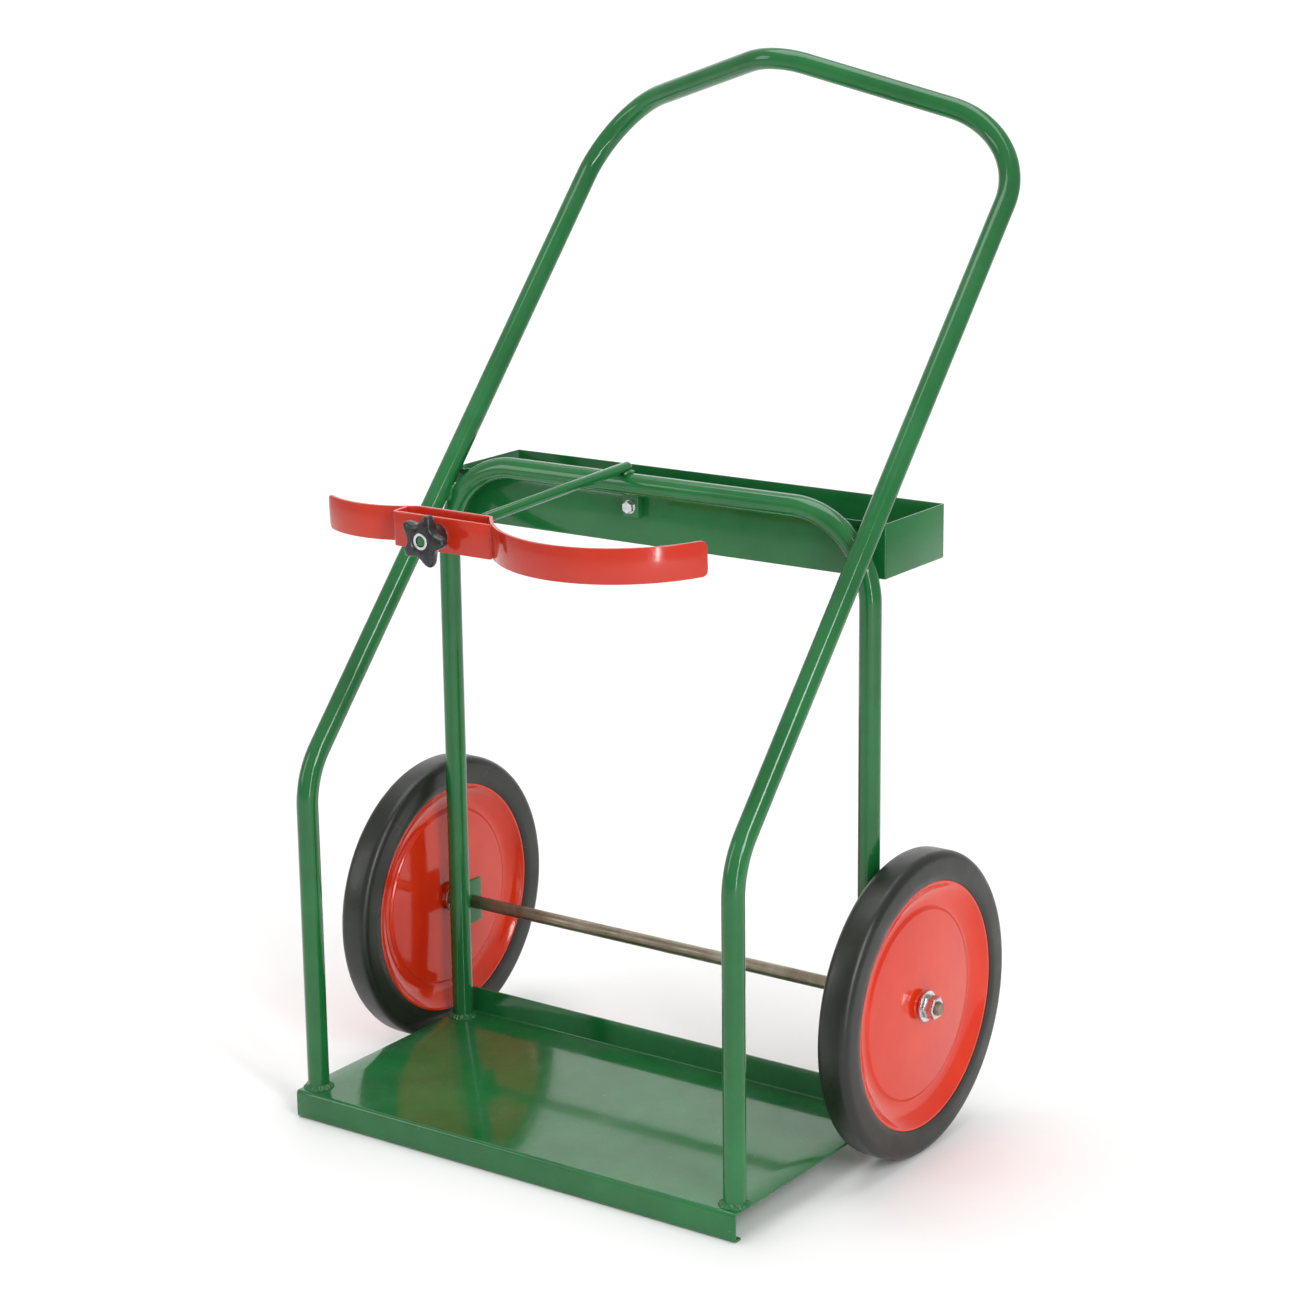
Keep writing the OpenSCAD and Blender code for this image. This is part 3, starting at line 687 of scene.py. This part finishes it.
bm = hexagon(13 * MM, 0, nhi.y - nlo.y, 4.05 * MM, Vector((bolt_x, nlo.y, bolt_z)), Y)
piece(bm, "lug_nut_body", "cart", ZINC, ["lug_nut"])

# ---------------------------------------------------------------- axle

alo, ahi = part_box("axle")
AXLE_Y, AXLE_Z = (alo.y + ahi.y) / 2, (alo.z + ahi.z) / 2
AXLE = Vector((0, AXLE_Y, AXLE_Z))
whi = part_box("outer_washer_right")[1]
reach, plain = ahi.x, whi.x
bm = turned([
    (0, -reach), (7 * MM, -reach), (7 * MM, -plain), (8 * MM, -plain),
    (8 * MM, plain), (7 * MM, plain), (7 * MM, reach), (0, reach),
], {0.6 * MM: [1, 6], 0.3 * MM: [3, 4]}, AXLE, X, 48)
for way in (-1, 1):
    end = AXLE + X * way * (plain + 1 * MM)
    join(bm, thread(8 * MM, 2 * MM, reach - plain - 2 * MM, end, X * way, 32))
piece(bm, "axle_rod", "cart", STEEL, ["axle"])

for side, way in (("left", -1), ("right", 1)):
    lo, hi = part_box("axle_bracket_" + side)
    bm = block(lo, hi, 1.0 * MM)
    for edge in (lo.x, hi.x):
        seam_y = REAR_Y + TUBE - 1 * MM
        seam = (edge, seam_y, lo.z + 4 * MM), (edge, seam_y, hi.z - 4 * MM)
        join(bm, bead(*seam, 2.8 * MM, 4 + way))
    piece(bm, "axle_bracket_plate_" + side, "cart", GREEN, ["axle_bracket_" + side])
    for node, mat, name in (
        ("spacer_", STEEL, "spacer_tube_"), ("inner_washer_", ZINC, "inner_washer_ring_"),
        ("outer_washer_", ZINC, "outer_washer_ring_"),
    ):
        lo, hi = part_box(node + side)
        bm = ring_of(8.1 * MM, (hi.z - lo.z) / 2, lo.x, hi.x, 0.4 * MM, AXLE, X, 64)
        piece(bm, name + side, "cart", mat, [node + side])
    lo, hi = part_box("axle_nut_" + side)
    bm = hexagon(24 * MM, 0, hi.x - lo.x, 8.05 * MM, Vector((lo.x, AXLE_Y, AXLE_Z)), X)
    piece(bm, "axle_nut_body_" + side, "cart", ZINC, ["axle_nut_" + side])

# ---------------------------------------------------------------- wheels

RIM = 144 * MM
TYRE_R = (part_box("tyre_right")[1].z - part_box("tyre_right")[0].z) / 2
HALF = (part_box("tyre_right")[1].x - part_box("tyre_right")[0].x) / 2
DISH = [
    (13, 11), (30, 10.4), (109.4, 8), (112.3, 5), (119.5, 5),
    (129.6, 8), (137.5, 13.5), (141.1, 17.5), (144, 17.5),
]
# moulding lines on each side of the tyre, as (radius, distance from the middle)
MOULD_LINES = [(160, 19.7), (162.4, 19.7), (176.2, 14.6), (177.2, 12.2), (177.8, 9.8)]

for side, way in (("left", -1), ("right", 1)):
    body = "wheel_" + side
    hlo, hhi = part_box("hub_" + side)
    middle = Vector(((hlo.x + hhi.x) / 2, AXLE_Y, AXLE_Z))
    bm = turned([
        (131 * MM, -7.5 * MM), (131 * MM, 7.5 * MM), (143.9 * MM, 15.2 * MM),
        (RIM + 0.2 * MM, 18 * MM), (150 * MM, HALF), (TYRE_R, HALF), (TYRE_R, -HALF),
        (150 * MM, -HALF), (RIM + 0.2 * MM, -18 * MM), (143.9 * MM, -15.2 * MM),
    ], {10 * MM: [5, 6], 4 * MM: [4, 7]}, middle, X, 160)
    for radius, along in MOULD_LINES:
        for sx in (-1, 1):
            inner, outer = (radius - 1.2) * MM, (radius + 0.1) * MM
            low, high = (along - 0.55) * MM, (along + 0.25) * MM
            join(bm, ring_of(inner, outer, low, high, 0.25 * MM, middle, X * sx, 160))
    piece(bm, "tyre_tread_" + side, body, RUBBER, ["tyre_" + side], crease=50)
    for node, facing, name in (("outer_disc_", 1, "outer_dish_"), ("inner_disc_", -1, "inner_dish_")):
        face = [(r * MM, x * MM) for r, x in DISH]
        back = [(r * MM, (x - 2) * MM) for r, x in reversed(DISH)]
        count = len(DISH)
        soft = {
            2.2 * MM: [3, 4, count * 2 - 4, count * 2 - 5], 6 * MM: [5, 6],
            1.0 * MM: [2, count * 2 - 3], 0.9 * MM: [7, 8, count, count + 1],
        }
        bm = turned(face + back, soft, middle, X * way * facing, 128)
        piece(bm, name + side, body, WHEEL_RED, [node + side], crease=40)
    bm = ring_of(8.1 * MM, 13 * MM, hlo.x - middle.x, hhi.x - middle.x, 0.8 * MM, middle, X, 64)
    hub_fillet = [(12.5 * MM, 8.5 * MM), (17.5 * MM, 9.8 * MM), (12.5 * MM, 14.5 * MM)]
    for sx in (-1, 1):
        weld = turned(hub_fillet, {1.0 * MM: [1]}, middle, X * sx, 120)
        wobble(weld, list(weld.verts), 3.5 * MM, 0.7 * MM, 6 + sx)
        join(bm, weld)
    piece(bm, "hub_tube_" + side, body, WHEEL_RED, ["hub_" + side], crease=45)

# ---------------------------------------------------------------- clamp

slide = joints["clamp_travel"]["axis"]
DROOP = math.atan2(slide[2], slide[1])
rlo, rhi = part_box("clamp_rod")
CLAMP_X = (rlo.x + rhi.x) / 2
STRAP_REACH = 311 * MM
swing_at = Vector(joints["strap_swing"]["pos_m"])
rod_over_bar = swing_at + Vector(slide) * STRAP_REACH
CLAMP = Matrix.Translation(rod_over_bar) @ Matrix.Rotation(DROOP, 4, X)


def to_clamp(bm):
    bmesh.ops.transform(bm, matrix=CLAMP, verts=bm.verts)
    return bm


ROD_FRONT = -371 * MM
THREAD_BACK = -262 * MM
ROD_TAIL = 3 * MM
bm = turned([
    (0, -ROD_TAIL - 6 * MM), (6 * MM, -ROD_TAIL - 6 * MM), (6 * MM, -THREAD_BACK),
    (5.2 * MM, -THREAD_BACK + 2 * MM), (5.2 * MM, -ROD_FRONT), (0, -ROD_FRONT),
], {5.6 * MM: [1], 0.8 * MM: [4]}, Vector((0, 0, 0)), -Y, 48)
threaded = THREAD_BACK - ROD_FRONT - 3 * MM
join(bm, thread(6 * MM, 1.75 * MM, threaded, Vector((0, THREAD_BACK - 1 * MM, 0)), -Y, 24))
to_clamp(bm)
piece(bm, "clamp_rod_bar", "cart", GREEN, ["clamp_rod"], crease=40)

bar_top = BAR_Z + TUBE + 0.2 * MM
weld_size = (4 * MM, 10 * MM, 3.4 * MM)
bm = blob((CLAMP_X - 5.5 * MM, REAR_Y, bar_top), weld_size, 21)
join(bm, blob((CLAMP_X + 5.5 * MM, REAR_Y, bar_top), weld_size, 22))
piece(bm, "rod_weld_metal", "cart", GREEN, ["rod_weld"], crease=80)

STRAP_HALF = 19 * MM
STRAP_T = 4 * MM
TIP_ROUND = 7 * MM
# each arm's arc: centre, radius, and the angles at which it starts and ends
RIGHT_C, RIGHT_R = Vector((171, -227, 0)) * MM, 150 * MM
RIGHT_FROM, RIGHT_TO = 180 + math.degrees(math.asin(84 / 150)), 336.6
LEFT_C, LEFT_R = Vector((-116, -213, 0)) * MM, 117 * MM
LEFT_FROM, LEFT_TO = 239.2, 360 - math.degrees(math.asin(98 / 117))


def around(centre, radius, degrees):
    turn = math.radians(degrees)
    return centre + Vector((math.cos(turn), math.sin(turn), 0)) * radius


def sweep(bm, edges, centre, degrees, steps):
    spun = bmesh.ops.spin(bm, geom=edges, cent=centre, axis=(0, 0, 1), angle=math.radians(degrees),
                          steps=steps, use_merge=False, use_duplicate=False)
    return edges_of(spun["geom_last"])


bm = bmesh.new()
tip = around(LEFT_C, LEFT_R, LEFT_FROM)
low, high = bm.verts.new(tip - Z * STRAP_HALF), bm.verts.new(tip + Z * STRAP_HALF)
edge = [bm.edges.new((low, high))]
round_deg_left = math.degrees(TIP_ROUND / LEFT_R)
round_deg_right = math.degrees(TIP_ROUND / RIGHT_R)
edge = sweep(bm, edge, LEFT_C, round_deg_left, 8)
edge = sweep(bm, edge, LEFT_C, LEFT_TO - LEFT_FROM - round_deg_left, 30)
left_bend, right_bend = around(LEFT_C, LEFT_R, LEFT_TO), around(RIGHT_C, RIGHT_R, RIGHT_FROM)
edge = extrude_along(bm, edge, (right_bend - left_bend).project(X))
edge = sweep(bm, edge, RIGHT_C, RIGHT_TO - RIGHT_FROM - round_deg_right, 60)
edge = sweep(bm, edge, RIGHT_C, round_deg_right, 8)
ends = (tip, around(RIGHT_C, RIGHT_R, RIGHT_TO))
for v in bm.verts:
    gap = min((Vector((v.co.x, v.co.y, 0)) - end).length for end in ends)
    if gap < TIP_ROUND:
        cut = TIP_ROUND - math.sqrt(max(0.0, TIP_ROUND ** 2 - (TIP_ROUND - gap) ** 2))
        v.co.z -= math.copysign(cut, v.co.z)
creases = [
    e for e in bm.edges
    if abs(e.verts[0].co.z - e.verts[1].co.z) > 1 * MM
    and min((Vector((*e.verts[0].co.xy, 0)) - p).length for p in (left_bend, right_bend)) < 1e-5
]
bmesh.ops.bevel(bm, geom=creases, offset=4.0 * MM, offset_type="OFFSET", affect="EDGES", segments=5,
                profile=0.5, material=-1, clamp_overlap=True)


def strap_back(spot):
    centre = RIGHT_C if spot.x > right_bend.x else LEFT_C
    if left_bend.x <= spot.x <= right_bend.x:
        return Y
    return Vector((centre.x - spot.x, centre.y - spot.y, 0))


thicken(bm, STRAP_T, strap_back)
soften(bm, 0.6 * MM, 2, 60)
to_clamp(bm)
piece(bm, "strap_bar", "strap", STRAP_RED, ["clamp_strap"], crease=35)

BRIDGE_FRONT, BRIDGE_LEFT, BRIDGE_RIGHT = -340 * MM, -64 * MM, 68 * MM
bm = bmesh.new()
start = Vector((BRIDGE_LEFT, -317.5 * MM, 0))
low, high = bm.verts.new(start - Z * STRAP_HALF), bm.verts.new(start + Z * STRAP_HALF)
edge = [bm.edges.new((low, high))]
edge = extrude_along(bm, edge, Y * (BRIDGE_FRONT - start.y))
corner = Vector((BRIDGE_LEFT, BRIDGE_FRONT, 0))
edge = extrude_along(bm, edge, X * (BRIDGE_RIGHT - BRIDGE_LEFT))
fold = [
    e for e in bm.edges
    if abs(e.verts[0].co.z - e.verts[1].co.z) > 1 * MM
    and (Vector((*e.verts[0].co.xy, 0)) - corner).length < 1e-6
]
bmesh.ops.bevel(
    bm, geom=fold, offset=5 * MM, offset_type="OFFSET", affect="EDGES",
    segments=6, profile=0.5, material=-1, clamp_overlap=True,
)
thicken(bm, STRAP_T, lambda spot: Y if spot.x > -60 * MM else X)
soften(bm, 0.6 * MM, 2, 60)
join(bm, bead((68.5 * MM, -337 * MM, -17 * MM), (68.5 * MM, -337 * MM, 17 * MM), 2.6 * MM, 13))
seam = (-64.5 * MM, -317.5 * MM)
join(bm, bead((*seam, -17 * MM), (*seam, 17 * MM), 2.4 * MM, 17))
to_clamp(bm)
piece(bm, "strap_bridge", "strap", STRAP_RED, ["clamp_bridge"], crease=45)

bm = ring_of(6.1 * MM, 13 * MM, 340.1 * MM, 342.5 * MM, 0.4 * MM, Vector((0, 0, 0)), -Y, 56)
to_clamp(bm)
piece(bm, "clamp_washer_ring", "strap_carrier", ZINC, ["clamp_washer"])

# star knob: layers of (how far forward, size of the lobes, depth of the dents)
KNOB_BACK = 342.7 * MM
LOBES = 5
layers = [
    (0, 0.0), (13.0, 0.0), (14.0, 0.25), (15.5, 0.72), (18.0, 0.93),
    (21.0, 1.0), (24.5, 1.0), (27.0, 0.94), (28.8, 0.8), (29.8, 0.6),
]
sides = 120


def knob_radius(angle, share):
    lobe = 23.5 * MM + 5.3 * MM * math.cos(LOBES * angle) + 0.9 * MM * math.cos(2 * LOBES * angle)
    return 13.5 * MM * (1 - share) + lobe * share


bm = bmesh.new()
bmesh.ops.create_circle(bm, segments=sides, radius=9.2 * MM, cap_ends=False)
inner_start = list(bm.edges)
ring = extrude_along(bm, inner_start, Vector((0, 0, 0)))
for v in {v for e in ring for v in e.verts}:
    v.co.xy = v.co.xy.normalized() * 13.5 * MM
for forward, share in layers[1:]:
    ring = extrude_along(bm, ring, Vector((0, 0, 0)))
    for v in {v for e in ring for v in e.verts}:
        angle = math.atan2(v.co.y, v.co.x)
        v.co.xy = v.co.xy.normalized() * knob_radius(angle, share)
        v.co.z = forward * MM
for radius, forward in ((13.0, 30.0), (12.0, 28.6), (9.2, 28.4), (9.2, 0.0)):
    ring = extrude_along(bm, ring, Vector((0, 0, 0)))
    for v in {v for e in ring for v in e.verts}:
        v.co.xy = v.co.xy.normalized() * radius * MM
        v.co.z = forward * MM
place = Matrix.Translation((0, -KNOB_BACK, 0)) @ turn_to(-Y)
bmesh.ops.transform(bm, matrix=place, verts=bm.verts)
to_clamp(bm)
piece(bm, "star_knob", "knob", PLASTIC, ["knob_head"], crease=40)
bush_front = KNOB_BACK + 29.4 * MM
bm = ring_of(6.1 * MM, 9.2 * MM, KNOB_BACK, bush_front, 0.6 * MM, Vector((0, 0, 0)), -Y, 48)
to_clamp(bm)
piece(bm, "knob_bush_tube", "knob", ZINC, ["knob_bush"])

# ---------------------------------------------------------------- studio

def stage_material(name, colour, rough):
    mat, tree, shader = material(name)
    tone = remap(tree, noise_at(tree, 1.5, 3.0), 0.3, 0.7, 0.97, 1.0)
    dim = tuple(c * 0.97 for c in colour)
    tree.links.new(mix_colour(tree, tone, dim, colour), shader.inputs["Base Color"])
    shader.inputs["Roughness"].default_value = rough
    return mat


def backdrop():
    """A pale floor that curves up into a wall behind."""
    bm = bmesh.new()
    points = [(-9.0, 0.0), (5.0, 0.0), (5.0, 7.0)]
    bm_verts = [bm.verts.new((-12, y, z)) for y, z in points]
    row = [bm.edges.new(pair) for pair in zip(bm_verts, bm_verts[1:])]
    extrude_along(bm, row, X * 24)
    fold = [
        e for e in bm.edges
        if all(abs(v.co.y - 5.0) < 1e-6 and abs(v.co.z) < 1e-6 for v in e.verts)
    ]
    bmesh.ops.bevel(
        bm, geom=fold, offset=2.5, offset_type="OFFSET", affect="EDGES",
        segments=24, profile=0.5, material=-1, clamp_overlap=True,
    )
    facing = Matrix.Rotation(math.radians(35.3), 3, "Z")
    bmesh.ops.rotate(bm, cent=(0, 0, 0), matrix=facing, verts=bm.verts)
    bmesh.ops.recalc_face_normals(bm, faces=bm.faces)
    for face in bm.faces:
        face.smooth = True
    mesh = bpy.data.meshes.new("studio_floor")
    bm.to_mesh(mesh)
    bm.free()
    mesh.materials.append(stage_material("studio_paper", (0.93, 0.93, 0.925), 0.75))
    obj = bpy.data.objects.new("studio_floor", mesh)
    bpy.context.scene.collection.objects.link(obj)


backdrop()


def softbox(name, place, aim, width, height, power):
    data = bpy.data.lights.new(name, "AREA")
    data.shape = "RECTANGLE"
    data.size, data.size_y = width, height
    data.energy = power
    obj = bpy.data.objects.new(name, data)
    obj.location = place
    obj.rotation_euler = (Vector(aim) - Vector(place)).to_track_quat("-Z", "Y").to_euler()
    bpy.context.scene.collection.objects.link(obj)


softbox("key", (3.4, -1.4, 2.9), (0, 0.2, 0.5), 0.7, 2.4, 60)
softbox("fill", (-3.0, -2.8, 2.0), (0, 0.2, 0.6), 1.2, 2.2, 22)
softbox("top", (-0.3, 0.6, 4.2), (0, 0.2, 0.3), 3.2, 2.6, 75)
softbox("strip_right", (3.1, -2.0, 1.3), (0, 0.2, 0.6), 0.12, 2.6, 34)
softbox("wall_wash", (-1.6, 2.2, 3.8), (-3.6, 5.0, 0.6), 4.0, 1.5, 60)

world = bpy.data.worlds.new("studio_air")
bpy.context.scene.world = world
world.use_nodes = True
world.node_tree.nodes["Background"].inputs["Color"].default_value = (1, 1, 1, 1)
world.node_tree.nodes["Background"].inputs["Strength"].default_value = 0.5

bpy.context.scene.view_settings.view_transform = "Standard"

# camera, in front and to the right of the trolley
azimuth, elevation, roll = (math.radians(a) for a in (35.308, 14.744, 0.707))
right = Vector((math.cos(azimuth), math.sin(azimuth), 0))
level = math.cos(elevation)
ahead = Vector((-math.sin(azimuth) * level, math.cos(azimuth) * level, -math.sin(elevation)))
up = right.cross(ahead)
tilt = Matrix.Rotation(roll, 3, ahead)
right, up = tilt @ right, tilt @ up
camera_data = bpy.data.cameras.new("view")
camera_data.sensor_width = 36
camera_data.lens = 86.88
camera_data.clip_end = 50
camera = bpy.data.objects.new("view", camera_data)
camera.matrix_world = Matrix((
    (right.x, up.x, -ahead.x, 2.0269),
    (right.y, up.y, -ahead.y, -2.5736),
    (right.z, up.z, -ahead.z, 1.4718),
    (0, 0, 0, 1),
))
bpy.context.scene.collection.objects.link(camera)
bpy.context.scene.camera = camera
